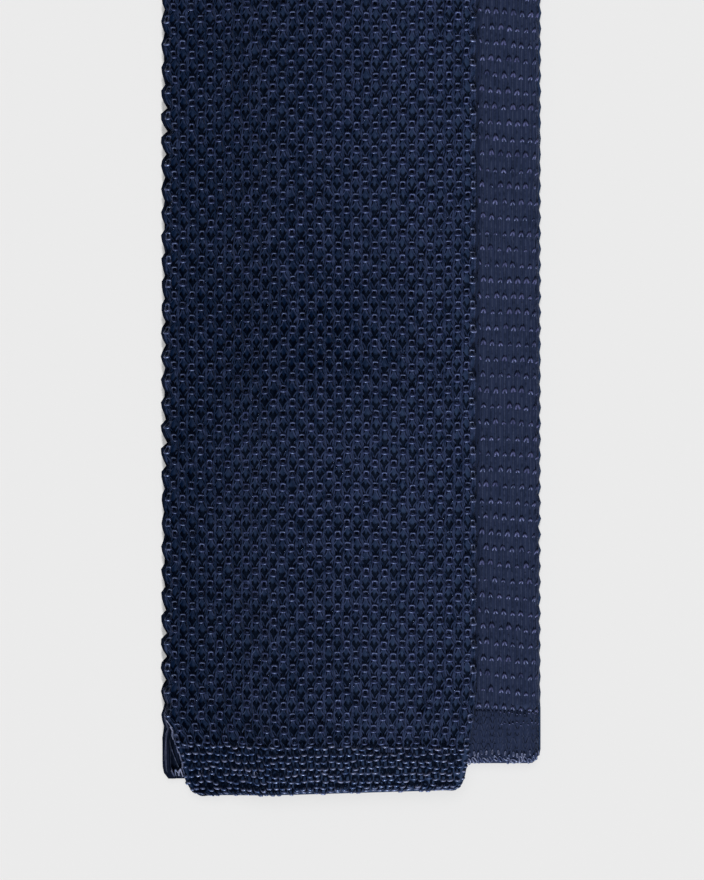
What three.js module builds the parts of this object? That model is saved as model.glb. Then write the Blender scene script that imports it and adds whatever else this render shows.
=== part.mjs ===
// A knitted tie, folded once and laid flat: the wide blade on top, the tail below it.
// Millimetres, +Z up, floor at zero. Both ends point to -Y and the fold lies at +Y.
// The tie is one flat knitted tube. Its face looks up in the blade and down in the tail.
import * as THREE from "three";

// Main sizes
const FOLDED_LENGTH = 737; // from the blade's end to the outside of the fold
const BLADE_WIDTH = 60;
const TAIL_WIDTH = 50;
const NECK_WIDTH = 30;
const WALL = 1.3; // one knitted wall
const SLIT = 0.6; // air between the two walls of the tube
const GAP = 0.3; // clearance between neighbouring pieces

// How the two halves lie on each other
const TAIL_SHIFT = 16.9; // the tail's middle lies this far right of the blade's
const TAIL_SHORT = 6.3; // the tail ends this far before the blade
const PARALLEL = 215; // both halves run parallel up to this distance from the blade's end
const NECK_FROM = 528; // here the neckband starts, and the halves lie right on each other
const TAPER_FROM = 170; // both halves keep their full width up to here
const TAIL_TAPER_TO = 470; // here the tail has come down to the neck's width
const SAG_RUN = 12; // width in which the overhanging side comes down to the floor
const END_DROOP = 1; // how far the blade's free end hangs down past the tail's end

// Fold
const FOLD_RADIUS = 4.1; // of the middle of the tube round the fold
const FOLD_CLIMB = 34; // length in which the upper layer climbs to the fold
const FOLD_STEPS = 10;

// Ends
const BLADE_HEM = 10.3; // length of the band at the end of the blade's face
const TAIL_HEM = 10.3; // the same on the tail
const BACK_SHORT = 3.2; // the blade's back ends this far before its face
const FACE_SHORT = 0.6; // the tail's face ends this far before its back
const END_SLANT = 0.03; // rise of the blade's end from left to right, per mm
const DRAW_IN = 15.2; // length over which the end of the blade's face is drawn in

// Outlines of the ends. Columns: up is the distance from the end as a share of DRAW_IN,
// left and right are shares of half the width there.
const BLADE_FACE_END = [
  { up: 0, left: 0.76, right: 0.87 },
  { up: 0.06, left: 0.8, right: 0.905 },
  { up: 0.19, left: 0.846, right: 0.925 },
  { up: 0.44, left: 0.89, right: 0.945 },
  { up: 0.75, left: 0.95, right: 0.967 },
  { up: 1, left: 1, right: 0.985 },
  { up: 1.45, left: 1, right: 1 },
];
const BLADE_BACK_END = [
  { up: 0, left: 0.93, right: 0.86 },
  { up: 0.03, left: 0.97, right: 0.88 },
  { up: 0.1, left: 0.995, right: 0.89 },
  { up: 0.2, left: 1, right: 0.9 },
  { up: 0.55, left: 1, right: 0.92 },
  { up: 0.85, left: 1, right: 0.955 },
  { up: 1.24, left: 1, right: 1 },
];
const TAIL_END = [
  { up: 0, left: 0.96, right: 0.96 },
  { up: 0.03, left: 0.985, right: 0.985 },
  { up: 0.1, left: 1, right: 1 },
];

// Places of the points across a panel, as shares of its flat width. They stand closest
// where the blade's side comes down off the tail.
const BLADE_COLUMNS = [0.06, 0.12, 0.18, 0.23, 0.28, 0.33, 0.38];
const TAIL_COLUMNS = [0.5];
const SIDE_STEPS = 4; // facets of the rounded side of a panel
const NECK_SIDE_STEPS = 8; // facets of the rounded side of the neckband
const RUN_STEP = 26; // distance between the stations along the halves

// Sizes that follow
const THICK = 2 * WALL + SLIT;
const HALF_THICK = THICK / 2;
const UPPER_LIFT = THICK + GAP; // height of the blade's underside above the floor
const TOTAL_WIDTH = BLADE_WIDTH / 2 + TAIL_SHIFT + TAIL_WIDTH / 2;
const BLADE_MIDDLE = (BLADE_WIDTH - TOTAL_WIDTH) / 2;
const TAIL_MIDDLE = BLADE_MIDDLE + TAIL_SHIFT;
const FOLD_MIDDLE = (BLADE_MIDDLE + TAIL_MIDDLE) / 2;
const BLADE_END_Y = -FOLDED_LENGTH / 2;
const TAIL_END_Y = BLADE_END_Y + TAIL_SHORT;
const FOLD_Y = FOLDED_LENGTH / 2 - FOLD_RADIUS - HALF_THICK;
const FOLD_RISE = 2 * FOLD_RADIUS - UPPER_LIFT;
const NECK_Y = BLADE_END_Y + NECK_FROM;

// Eases from 0 to 1 while t goes from 0 to 1.
function ease(t) {
  const c = Math.min(Math.max(t, 0), 1);
  return c * c * (3 - 2 * c);
}

// Reads a column of an end's outline at a distance from the end.
function outlineAt(rows, along, column) {
  const up = along / DRAW_IN;
  const next = rows.findIndex((row) => row.up > up);
  if (next < 0) return rows[rows.length - 1][column];
  if (next === 0) return rows[0][column];
  const a = rows[next - 1];
  const b = rows[next];
  return a[column] + ((b[column] - a[column]) * (up - a.up)) / (b.up - a.up);
}

// Middle line and half width of each half, by the place along the folded tie.
function drift(y) {
  return ease((y - BLADE_END_Y - PARALLEL) / (NECK_FROM - PARALLEL));
}

function bladeMiddle(y) {
  return BLADE_MIDDLE + (FOLD_MIDDLE - BLADE_MIDDLE) * drift(y);
}

function tailMiddle(y) {
  return TAIL_MIDDLE + (FOLD_MIDDLE - TAIL_MIDDLE) * drift(y);
}

function bladeHalf(y) {
  const narrowed = ease((y - BLADE_END_Y - TAPER_FROM) / (NECK_FROM - TAPER_FROM));
  return (BLADE_WIDTH - (BLADE_WIDTH - NECK_WIDTH) * narrowed) / 2;
}

function tailHalf(y) {
  const narrowed = ease((y - BLADE_END_Y - TAPER_FROM) / (TAIL_TAPER_TO - TAPER_FROM));
  return (TAIL_WIDTH - (TAIL_WIDTH - NECK_WIDTH) * narrowed) / 2;
}

// Height of the middle of the blade's tube. It lies on the tail, comes down to the floor
// beyond the tail's left side, and droops a little past the tail's end.
function bladeHeight(x, y) {
  const sideDrop = ease((tailMiddle(y) - tailHalf(y) - x) / SAG_RUN);
  const past = Math.max(0, (TAIL_END_Y - y) / TAIL_SHORT);
  const endDrop = END_DROOP * past * past;
  return HALF_THICK + (UPPER_LIFT - endDrop) * (1 - sideDrop);
}

// Section of one wall of the flat tube, as pairs of outer and inner points.
// across runs from left to right, out is the distance from the tube's middle plane.
function panelSection(left, right, columns) {
  const pairs = [];
  const lowOuter = Math.asin(GAP / 2 / HALF_THICK);
  const lowInner = Math.asin(GAP / SLIT);
  const roundSide = (middle, side, step) => {
    const outer = lowOuter + ((Math.PI / 2 - lowOuter) * step) / SIDE_STEPS;
    const inner = lowInner + ((Math.PI / 2 - lowInner) * step) / SIDE_STEPS;
    pairs.push({
      outer: [middle + side * HALF_THICK * Math.cos(outer), HALF_THICK * Math.sin(outer)],
      inner: [middle + (side * SLIT * Math.cos(inner)) / 2, (SLIT * Math.sin(inner)) / 2],
    });
  };
  const flatLeft = -left + HALF_THICK;
  const flatRight = right - HALF_THICK;
  for (let step = 0; step <= SIDE_STEPS; step++) roundSide(flatLeft, -1, step);
  for (const share of columns) {
    const across = flatLeft + (flatRight - flatLeft) * share;
    pairs.push({ outer: [across, HALF_THICK], inner: [across, SLIT / 2] });
  }
  for (let step = SIDE_STEPS; step >= 0; step--) roundSide(flatRight, 1, step);
  return pairs;
}

// Section of the whole tube, as pairs of outer and inner points all the way round.
function tubeSection(half) {
  const pairs = [];
  for (const side of [-1, 1]) {
    const middle = side * (half - HALF_THICK);
    for (let step = 0; step <= NECK_SIDE_STEPS; step++) {
      const turn = side * (Math.PI / 2 - (Math.PI * step) / NECK_SIDE_STEPS);
      const across = side * Math.cos(turn);
      const out = Math.sin(turn);
      pairs.push({
        outer: [middle + across * HALF_THICK, out * HALF_THICK],
        inner: [middle + (across * SLIT) / 2, (out * SLIT) / 2],
      });
    }
  }
  return pairs;
}

// Builds a closed solid from sections. Each section is a row of outer and inner points.
// round tells whether a section closes on itself, as a tube's does.
function solid(sections, round) {
  const positions = [];
  const faces = [];
  const count = sections[0].length;
  for (const section of sections) {
    for (const pair of section) positions.push(...pair.outer, ...pair.inner);
  }
  const outer = (s, i) => 2 * (s * count + (i % count));
  const inner = (s, i) => outer(s, i) + 1;
  const quad = (a, b, c, d) => faces.push(a, b, c, a, c, d);
  const spans = round ? count : count - 1;
  const last = sections.length - 1;
  for (let s = 0; s < last; s++) {
    for (let i = 0; i < spans; i++) {
      quad(outer(s, i), outer(s, i + 1), outer(s + 1, i + 1), outer(s + 1, i));
      quad(inner(s, i), inner(s + 1, i), inner(s + 1, i + 1), inner(s, i + 1));
    }
    if (!round) {
      quad(outer(s, 0), outer(s + 1, 0), inner(s + 1, 0), inner(s, 0));
      const end = count - 1;
      quad(outer(s, end), inner(s, end), inner(s + 1, end), outer(s + 1, end));
    }
  }
  for (let i = 0; i < spans; i++) {
    quad(outer(0, i), inner(0, i), inner(0, i + 1), outer(0, i + 1));
    quad(outer(last, i), outer(last, i + 1), inner(last, i + 1), inner(last, i));
  }
  const geometry = new THREE.BufferGeometry();
  geometry.setAttribute("position", new THREE.Float32BufferAttribute(positions, 3));
  geometry.setIndex(faces);
  geometry.computeVertexNormals();
  return geometry;
}

// Turns a solid's faces over, for the walls that look down.
function turnedOver(geometry) {
  const index = geometry.getIndex().array;
  for (let i = 0; i < index.length; i += 3) {
    [index[i + 1], index[i + 2]] = [index[i + 2], index[i + 1]];
  }
  geometry.computeVertexNormals();
  return geometry;
}

// Stations along a piece: the rows of its end's outline, then even steps.
function stations(from, to, rows, end) {
  const places = rows.map((row) => end + row.up * DRAW_IN).filter((place) => place > from && place < to);
  const start = Math.max(from, end + rows[rows.length - 1].up * DRAW_IN);
  const steps = Math.ceil((to - start) / RUN_STEP);
  for (let step = 1; step < steps; step++) places.push(start + ((to - start) * step) / steps);
  return [from, ...places, to];
}

// One wall of the blade, from one distance to another from the blade's end.
// face is 1 for the upper wall and -1 for the lower one.
function bladePanel(from, to, rows, end, face, slant) {
  const sections = stations(from, to, rows, end).map((along) => {
    const y = BLADE_END_Y + along;
    const left = bladeHalf(y) * outlineAt(rows, along - end, "left");
    const right = bladeHalf(y) * outlineAt(rows, along - end, "right");
    const rise = slant * Math.max(0, 1 - along / BLADE_HEM);
    const place = ([across, out]) => {
      const x = bladeMiddle(y) + across;
      return [x, y + rise * (across + left), bladeHeight(x, y) + face * out];
    };
    return panelSection(left, right, BLADE_COLUMNS).map((pair) => ({
      outer: place(pair.outer),
      inner: place(pair.inner),
    }));
  });
  const geometry = solid(sections, false);
  return face > 0 ? geometry : turnedOver(geometry);
}

// One wall of the tail, from one distance to another from the tail's end.
function tailPanel(from, to, end, face) {
  const sections = stations(from, to, TAIL_END, end).map((along) => {
    const y = TAIL_END_Y + along;
    const left = tailHalf(y) * outlineAt(TAIL_END, along - end, "left");
    const right = tailHalf(y) * outlineAt(TAIL_END, along - end, "right");
    const place = ([across, out]) => [tailMiddle(y) + across, y, HALF_THICK + face * out];
    return panelSection(left, right, TAIL_COLUMNS).map((pair) => ({
      outer: place(pair.outer),
      inner: place(pair.inner),
    }));
  });
  const geometry = solid(sections, false);
  return face > 0 ? geometry : turnedOver(geometry);
}

// Middle line of the neckband: back along the upper layer, round the fold, and forward
// along the floor. out is the direction in which the tie's face looks.
function neckLine() {
  const line = [];
  const climbFrom = FOLD_Y - FOLD_CLIMB;
  for (let step = 0; step < 3; step++) {
    const y = NECK_Y + GAP / 2 + ((climbFrom - NECK_Y) * step) / 3;
    line.push({ y, z: UPPER_LIFT + HALF_THICK, out: [0, 1] });
  }
  for (let step = 0; step < FOLD_STEPS; step++) {
    const t = step / FOLD_STEPS;
    const slope = (FOLD_RISE * 6 * t * (1 - t)) / FOLD_CLIMB;
    const long = Math.hypot(1, slope);
    const z = UPPER_LIFT + HALF_THICK + FOLD_RISE * ease(t);
    line.push({ y: climbFrom + FOLD_CLIMB * t, z, out: [-slope / long, 1 / long] });
  }
  for (let step = 0; step <= FOLD_STEPS; step++) {
    const turn = (Math.PI * step) / FOLD_STEPS;
    const out = [Math.sin(turn), Math.cos(turn)];
    const z = HALF_THICK + FOLD_RADIUS + FOLD_RADIUS * out[1];
    line.push({ y: FOLD_Y + FOLD_RADIUS * out[0], z, out });
  }
  line.push({ y: NECK_Y + GAP / 2, z: HALF_THICK, out: [0, -1] });
  return line;
}

// The narrow tube between the two halves, with the fold in it.
function neckband() {
  const sections = neckLine().map((spot) => {
    const place = ([across, out]) => [
      FOLD_MIDDLE + across,
      spot.y + out * spot.out[0],
      spot.z + out * spot.out[1],
    ];
    return tubeSection(NECK_WIDTH / 2).map((pair) => ({
      outer: place(pair.outer),
      inner: place(pair.inner),
    }));
  });
  return solid(sections, true);
}

// Pieces
const group = new THREE.Group();

function add(name, geometry, color) {
  const material = new THREE.MeshStandardMaterial({ color, roughness: 0.9 });
  const mesh = new THREE.Mesh(geometry, material);
  mesh.name = name;
  group.add(mesh);
}

const FIGURED = "#1c2640";
const PLAIN = "#252e4b";
const BAND = "#202a46";
const halfGap = GAP / 2;
const bladeTop = NECK_FROM - halfGap;
const tailTop = bladeTop - TAIL_SHORT;

const face = BLADE_FACE_END;
add("blade_front", bladePanel(BLADE_HEM + halfGap, bladeTop, face, 0, 1, 0), FIGURED);
add("blade_hem", bladePanel(0, BLADE_HEM - halfGap, face, 0, 1, END_SLANT), BAND);
add("blade_back", bladePanel(BACK_SHORT, bladeTop, BLADE_BACK_END, BACK_SHORT, -1, 0), PLAIN);
add("tail_back", tailPanel(TAIL_HEM + halfGap, tailTop, 0, 1), PLAIN);
add("tail_back_hem", tailPanel(0, TAIL_HEM - halfGap, 0, 1), BAND);
add("tail_front", tailPanel(TAIL_HEM + halfGap, tailTop, FACE_SHORT, -1), FIGURED);
add("tail_hem", tailPanel(FACE_SHORT, TAIL_HEM - halfGap, FACE_SHORT, -1), BAND);
add("neckband", neckband(), PLAIN);

export default group;
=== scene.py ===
# %% [markdown]
# # Dressing a knitted tie
# The tie lies folded once, wide half on top, on a pale floor. A measured CAD model gives the
# place and size of each panel. This lesson turns those smooth panels into knitting: a thin
# cloth for each wall, with real loops of yarn standing on it.

# %% Load the measured frame
import math

import bpy
import numpy as np
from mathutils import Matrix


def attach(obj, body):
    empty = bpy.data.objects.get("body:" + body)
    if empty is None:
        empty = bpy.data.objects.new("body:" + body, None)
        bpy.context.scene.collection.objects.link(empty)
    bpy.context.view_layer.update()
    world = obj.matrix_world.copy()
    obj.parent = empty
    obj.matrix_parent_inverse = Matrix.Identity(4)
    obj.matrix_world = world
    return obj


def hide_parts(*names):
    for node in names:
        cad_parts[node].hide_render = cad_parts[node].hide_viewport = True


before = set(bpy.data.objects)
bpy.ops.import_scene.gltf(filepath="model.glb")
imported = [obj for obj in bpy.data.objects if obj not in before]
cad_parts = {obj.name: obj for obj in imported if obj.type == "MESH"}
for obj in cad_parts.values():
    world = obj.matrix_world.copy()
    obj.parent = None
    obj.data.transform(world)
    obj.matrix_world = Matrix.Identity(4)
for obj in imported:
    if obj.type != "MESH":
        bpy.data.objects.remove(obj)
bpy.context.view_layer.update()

print("panels:", sorted(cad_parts))

# %% [markdown]
# ## The sizes of the tie
# They are the same as in the CAD model, in millimetres, because a knitter thinks in
# millimetres. The last step of each piece multiplies by MM to reach Blender's metres.

# %% Main sizes
MM = 0.001
FOLDED_LENGTH = 737.0
BLADE_WIDTH = 60.0  # the wide half, on top
TAIL_WIDTH = 50.0  # the narrower half, under it
NECK_WIDTH = 30.0
HALF_THICK = 1.6  # of one flat tube
SLIT = 0.6  # the hollow in it
GAP = 0.3  # between both halves
TAIL_SHIFT = 16.9  # the tail lies this far to the right
TAIL_SHORT = 6.3  # and ends this much short of the blade
PARALLEL = 215.0  # the halves start to near each other this far from the end
NECK_FROM = 528.0
TAPER_FROM = 170.0
TAIL_TAPER_TO = 470.0
SAG_RUN = 12.0  # width of the blade's slope down from the tail to the floor
END_DROOP = 1.0
FOLD_RADIUS = 4.1
FOLD_CLIMB = 34.0
HEM = 10.3  # depth of the end bands
BACK_SHORT = 3.2  # the blade's back ends this much short of its face
FACE_SHORT = 0.6  # and the tail's face this much short of its back
END_SLANT = 0.03
DRAW_IN = 15.2  # the ends are drawn in over this length

QUARTER = HALF_THICK * math.pi / 2 - HALF_THICK  # what a turn round one side adds to a wall
UPPER_LIFT = 2 * HALF_THICK + GAP
TOTAL_WIDTH = BLADE_WIDTH / 2 + TAIL_SHIFT + TAIL_WIDTH / 2
BLADE_MIDDLE = (BLADE_WIDTH - TOTAL_WIDTH) / 2
TAIL_MIDDLE = BLADE_MIDDLE + TAIL_SHIFT
FOLD_MIDDLE = (BLADE_MIDDLE + TAIL_MIDDLE) / 2
BLADE_END_Y = -FOLDED_LENGTH / 2
TAIL_END_Y = BLADE_END_Y + TAIL_SHORT
FOLD_Y = FOLDED_LENGTH / 2 - FOLD_RADIUS - HALF_THICK
NECK_Y = BLADE_END_Y + NECK_FROM
print("tail lies from x", TAIL_MIDDLE - TAIL_WIDTH / 2, "to", TAIL_MIDDLE + TAIL_WIDTH / 2)

# %% [markdown]
# ## How the cloth lies
# Every piece is first made flat, as a knitter lays a swatch on the table: x runs across the
# cloth, y along it from its end, and z stands out of it. Laying it then bends the swatch
# round the sides of the flat tube and puts it on the tail or on the floor. One function per
# half does that for the cloth and for the yarn on it, so they always stay together.

# %% Outlines of the ends
# Columns: share of DRAW_IN from the end, share of half the width left, and right. They are
# the CAD model's, but the left corner lies up to 0.9 mm nearer to the photograph.
BLADE_FACE_END = [
    (0, 0.775, 0.87), (0.06, 0.83, 0.905), (0.19, 0.868, 0.925), (0.44, 0.892, 0.945),
    (0.75, 0.95, 0.967), (1, 1, 0.985), (1.45, 1, 1),
]
BLADE_BACK_END = [
    (0, 0.962, 0.86), (0.03, 0.98, 0.88), (0.1, 0.997, 0.89), (0.2, 1, 0.9),
    (0.55, 1, 0.92), (0.85, 1, 0.955), (1.24, 1, 1),
]
TAIL_END = [(0, 0.96, 0.96), (0.03, 0.985, 0.985), (0.1, 1, 1)]


def ease(t):
    c = np.clip(t, 0, 1)
    return c * c * (3 - 2 * c)


def outline(rows, along, side):
    table = np.array(rows)
    return np.interp(along / DRAW_IN, table[:, 0], table[:, side])


print("the blade's end is", outline(BLADE_FACE_END, 0.0, 1), "of its half width at the left")

# %% Middle lines and widths
def drift(y):
    return ease((y - BLADE_END_Y - PARALLEL) / (NECK_FROM - PARALLEL))


def blade_middle(y):
    return BLADE_MIDDLE + (FOLD_MIDDLE - BLADE_MIDDLE) * drift(y)


def tail_middle(y):
    return TAIL_MIDDLE + (FOLD_MIDDLE - TAIL_MIDDLE) * drift(y)


def half_width(y, full, narrow_at):
    narrowed = ease((y - BLADE_END_Y - TAPER_FROM) / (narrow_at - TAPER_FROM))
    return (full - (full - NECK_WIDTH) * narrowed) / 2


def blade_half(y):
    return half_width(y, BLADE_WIDTH, NECK_FROM)


def tail_half(y):
    return half_width(y, TAIL_WIDTH, TAIL_TAPER_TO)


def blade_height(x, y):
    side_drop = ease((tail_middle(y) - tail_half(y) - x) / SAG_RUN)
    past = np.maximum(0, (TAIL_END_Y - y) / TAIL_SHORT)
    return HALF_THICK + (UPPER_LIFT - END_DROOP * past * past) * (1 - side_drop)


print("blade's left side lies at", round(float(blade_height(-35.0, -300.0)) - HALF_THICK, 2), "mm")

# %% [markdown]
# Hand-held knitting is never dead straight. Two sums of sines let the columns wander a few
# tenths of a millimetre. Each side swells and shrinks at every second pattern row of the
# blade, and at every row of the tail, which gives the tie its scalloped edge.

# %% Bend round the sides, wander and scallop
PATTERN_ROW = 2.276  # height of one row of the figure
FIRST_RING = 11.0  # from the blade's end to the first row of the figure
FIGURE_SCALLOP = 0.6  # size of the bumps on the blade's left side
RIGHT_SHARE = 0.55  # and the share of it that its right side has
PLAIN_ROW = 2.99
PLAIN_SCALLOP = 0.27
DROP_SHARE = 0.3  # of each bump, where it drops off
BUMP_MIDDLE = 1.45  # a little over the mean of a bump, so the sides lie 0.1 mm further in
NEAR = 156.0  # the finest knitting reaches this far from the ends


def wander(across, along):
    sway = np.sin(0.083 * along + 0.11 * across + 1.3) + 0.6 * np.sin(0.21 * along - 0.17 * across)
    shift = np.sin(0.19 * across + 0.02 * along) + 0.7 * np.sin(0.36 * across - 0.05 * along + 2)
    return 0.11 * sway, 0.13 * shift


def around_sides(across, out, flat_left, flat_right):
    flat = np.clip(across, -flat_left, flat_right)
    turn = np.clip((across - flat) / HALF_THICK, -1.65, 1.65)
    return flat + out * np.sin(turn), out * np.cos(turn)


def scallops(across, along, period, swell):
    """Bumps that swell slowly towards the fold and drop off sharply, and end where the tie
    narrows. Each is widest at the ring that lies on the side."""
    part = np.mod((along - FIRST_RING) / period, 1.0)
    swelling = (part - DROP_SHARE) / (1 - DROP_SHARE)
    turn = np.where(part < DROP_SHARE, 1 + part / DROP_SHARE, swelling) * math.pi / 2
    bump = 2 * np.sin(turn) - BUMP_MIDDLE
    uneven = 0.85 + 0.2 * np.sin(0.13 * along + 2 * np.sign(across)) + 0.15 * np.sin(0.31 * along)
    near_ends = ease((along - HEM) / 3) * (1 - ease((along - NEAR + 6) / 12))
    return swell * bump * uneven * near_ends


def bent(across, along, out, half, left_share, right_share, period, swell):
    share = np.where(across < 0, left_share, right_share)
    whole = half + QUARTER
    drawn = half * share + QUARTER
    scallop = scallops(across, along, period, swell)
    near_side = ease((np.abs(across) - whole + 5) / 4)
    placed = across * drawn / whole + np.sign(across) * scallop * near_side
    flat_left = half * left_share - HALF_THICK + scallop
    flat_right = half * right_share - HALF_THICK + scallop
    return around_sides(placed, out, flat_left, flat_right)


def lay_blade(points, rows, end, face, slant, period, swell):
    across, along, out = points.T
    sway, shift = wander(across, along)
    inside = ease(along / 12)
    y = BLADE_END_Y + along
    half = blade_half(y)
    left, right = outline(rows, along - end, 1), outline(rows, along - end, 2)
    swell = swell * np.where(across < 0, 1.0, RIGHT_SHARE)
    x, z = bent(across + sway * inside, along, out, half, left, right, period, swell)
    rise = slant * np.maximum(0, 1 - along / HEM)
    x = blade_middle(y) + x
    lifted = blade_height(x, y) + face * z
    y = y + rise * (x - blade_middle(y) + half * left) + shift * inside
    return np.column_stack([x, y, lifted]) * MM


def lay_tail(points, end, face, period, swell):
    across, along, out = points.T
    sway, shift = wander(across + 40, along)
    inside = ease(along / 12)
    y = TAIL_END_Y + along
    half = tail_half(y)
    share = outline(TAIL_END, along - end, 1)
    x, z = bent(across + sway * inside, along, out, half, share, share, period, swell)
    x = tail_middle(y) + x
    return np.column_stack([x, y + shift * inside, HALF_THICK + face * z]) * MM


print("the crest of the knit stands", HALF_THICK, "mm from the middle of the tube")

# %% [markdown]
# The neckband follows a line: back over the upper layer, up a little, round the fold and
# forward along the floor. It is sampled once, and a swatch is laid along it by its length.

# %% The neckband's line
def neck_line():
    climb_from = FOLD_Y - FOLD_CLIMB
    rise = 2 * FOLD_RADIUS - UPPER_LIFT
    y = np.linspace(NECK_Y, FOLD_Y, 200)
    t = np.clip((y - climb_from) / FOLD_CLIMB, 0, 1)
    slope = rise * 6 * t * (1 - t) / FOLD_CLIMB
    long = np.hypot(1, slope)
    upper = np.column_stack([y, UPPER_LIFT + HALF_THICK + rise * ease(t), -slope / long, 1 / long])
    turn = np.linspace(0, math.pi, 60)[1:]
    middle = HALF_THICK + FOLD_RADIUS
    fold = np.column_stack([
        FOLD_Y + FOLD_RADIUS * np.sin(turn), middle + FOLD_RADIUS * np.cos(turn),
        np.sin(turn), np.cos(turn),
    ])
    y = np.linspace(FOLD_Y, NECK_Y, 120)[1:]
    lower = np.column_stack([y, 0 * y + HALF_THICK, 0 * y, 0 * y - 1])
    line = np.concatenate([upper, fold, lower])
    steps = np.hypot(*np.diff(line[:, :2], axis=0).T)
    return np.concatenate([[0], np.cumsum(steps)]), line


NECK_ALONG, NECK_LINE = neck_line()
NECK_LENGTH = float(NECK_ALONG[-1])


def lay_neck(points):
    across, along, out = points.T
    sway, _ = wander(across, along)
    y, z, out_y, out_z = (np.interp(along, NECK_ALONG, NECK_LINE[:, i]) for i in range(4))
    flat = NECK_WIDTH / 2 - HALF_THICK
    x, outward = around_sides(across + 0.4 * sway, out, flat, flat)
    return np.column_stack([FOLD_MIDDLE + x, y + outward * out_y, z + outward * out_z]) * MM


print("neckband", round(NECK_LENGTH, 1), "mm long")

# %% [markdown]
# ## Trees made in Python
# Shader and geometry trees share one small bench. Bench.add takes a node's type, the
# settings that are made first, and its sockets' values or links. A Wire is an output socket
# on which sums read as sums.

# %% Bench and Wire
class Wire:
    """An output socket that takes part in Python sums."""

    def __init__(self, bench, socket):
        self.bench, self.socket = bench, socket

    def math(self, operation, *others):
        values = dict(enumerate([self, *others]))
        return self.bench.add("ShaderNodeMath", {"operation": operation}, values)

    def __add__(self, other):
        return self.math("ADD", other)

    def __sub__(self, other):
        return self.math("SUBTRACT", other)

    def __mul__(self, other):
        return self.math("MULTIPLY", other)

    def __truediv__(self, other):
        return self.math("DIVIDE", other)

    def __pow__(self, other):
        return self.math("POWER", other)

    def __rsub__(self, other):
        return self.bench.add("ShaderNodeMath", {"operation": "SUBTRACT"}, {0: other, 1: self})

    __radd__, __rmul__ = __add__, __mul__


class Bench:
    """Adds nodes to one tree."""

    def __init__(self, tree):
        self.tree = tree

    def node(self, kind, settings=None, inputs=None):
        made = self.tree.nodes.new(kind)
        for name, value in (settings or {}).items():
            if name == "stops":
                self.set_stops(made.color_ramp, value)
            else:
                setattr(made, name, value)
        for key, value in (inputs or {}).items():
            self.join(made, key, value)
        return made

    def join(self, made, key, value):
        if isinstance(key, int):
            socket = made.inputs[key]
        else:
            socket = next(s for s in made.inputs if s.name == key and s.enabled)
        for one in value if isinstance(value, list) else [value]:
            if isinstance(one, Wire):
                self.tree.links.new(one.socket, socket)
            else:
                socket.default_value = one

    def set_stops(self, ramp, stops):
        while len(ramp.elements) < len(stops):
            ramp.elements.new(0.5)
        for element, (place, color) in zip(ramp.elements, stops):
            element.position, element.color = place, (*color, 1)

    def add(self, kind, settings=None, inputs=None, output=0):
        made = self.node(kind, settings, inputs)
        if isinstance(output, str):
            return Wire(self, next(s for s in made.outputs if s.name == output and s.enabled))
        return Wire(self, made.outputs[output])


print("bench ready")

# %% Nodes that are used again and again
def parts_of(bench, value):
    split = bench.node("ShaderNodeSeparateXYZ", {}, {"Vector": value})
    return [Wire(bench, split.outputs[i]) for i in range(3)]


def soft_step(bench, value, start, stop, low=0.0, high=1.0):
    settings = {"interpolation_type": "SMOOTHSTEP"}
    return bench.add("ShaderNodeMapRange", settings, {
        "Value": value, "From Min": start, "From Max": stop, "To Min": low, "To Max": high,
    })


def mix_color(bench, amount, first, second):
    inputs = {"Factor": amount, "A": first, "B": second}
    return bench.add("ShaderNodeMix", {"data_type": "RGBA"}, inputs, "Result")


def noise(bench, place, scale, detail):
    return bench.add("ShaderNodeTexNoise", {}, {"Vector": place, "Scale": scale, "Detail": detail})


def wave(bench, place, direction, scale, distortion, detail_scale):
    inputs = {"Vector": place, "Scale": scale, "Distortion": distortion, "Detail": 2.0}
    inputs["Detail Scale"] = detail_scale
    return bench.add("ShaderNodeTexWave", {"bands_direction": direction}, inputs, "Fac")


def attribute(bench, name):
    return bench.add("ShaderNodeAttribute", {"attribute_name": name}, output="Fac")


def start_material(name, values):
    """A material whose shader has these fixed values."""
    material = bpy.data.materials.new(name)
    material.use_nodes = True
    shader = material.node_tree.nodes["Principled BSDF"]
    for socket, value in values.items():
        shader.inputs[socket].default_value = value
    return material, shader


print("shared nodes ready")

# %% [markdown]
# ## Navy yarn
# The tie is knitted from a dark navy yarn with a slight gloss: each place where the yarn runs across
# the tie catches a small glint. The hollows between the loops stay almost black, partly from real shade
# and partly from shade painted into the yarn's colour where it lies low. The colour varies from loop to
# loop, a fine slanted bump is the twist of its plies, and a soft sheen stands for the short fibres.

# %% Painted light and shade across the tie
def painted_side_light(bench, place):
    """Painted light and shade: the yarn's colour is made a little lighter towards the tie's right side
    and darker at its left end. It is also lighter on the near slope of a wave that lies across the
    blade, far too low to be modelled, and darker on the wave's far slope. The places are in metres."""
    sideways, ahead, _ = parts_of(bench, place)
    far = soft_step(bench, ahead, -0.301, -0.287)
    near_light = (1 - far) * soft_step(bench, ahead, -0.356, -0.331, 0.4) * 0.15
    far_dark = far * (1 - soft_step(bench, ahead, -0.281, -0.262)) * 0.2
    left_end = soft_step(bench, sideways, -0.036, -0.018)
    across = left_end * (1 - soft_step(bench, sideways, 0.006, 0.022))
    painted_wave_shading = (near_light - far_dark) * across
    return soft_step(bench, sideways, -0.036, 0.022, 0.11, 0.66) + painted_wave_shading


print("side tone ready")

# %% Yarn material
# Painted shade: in the hollows the yarn's colour drops to this share of its dark colour.
PAINTED_HOLLOW_SHADE = 0.22  # the hollows have this share of the dark colour's light
COOL = (0.5, 0.66, 1.0, 1)


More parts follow.
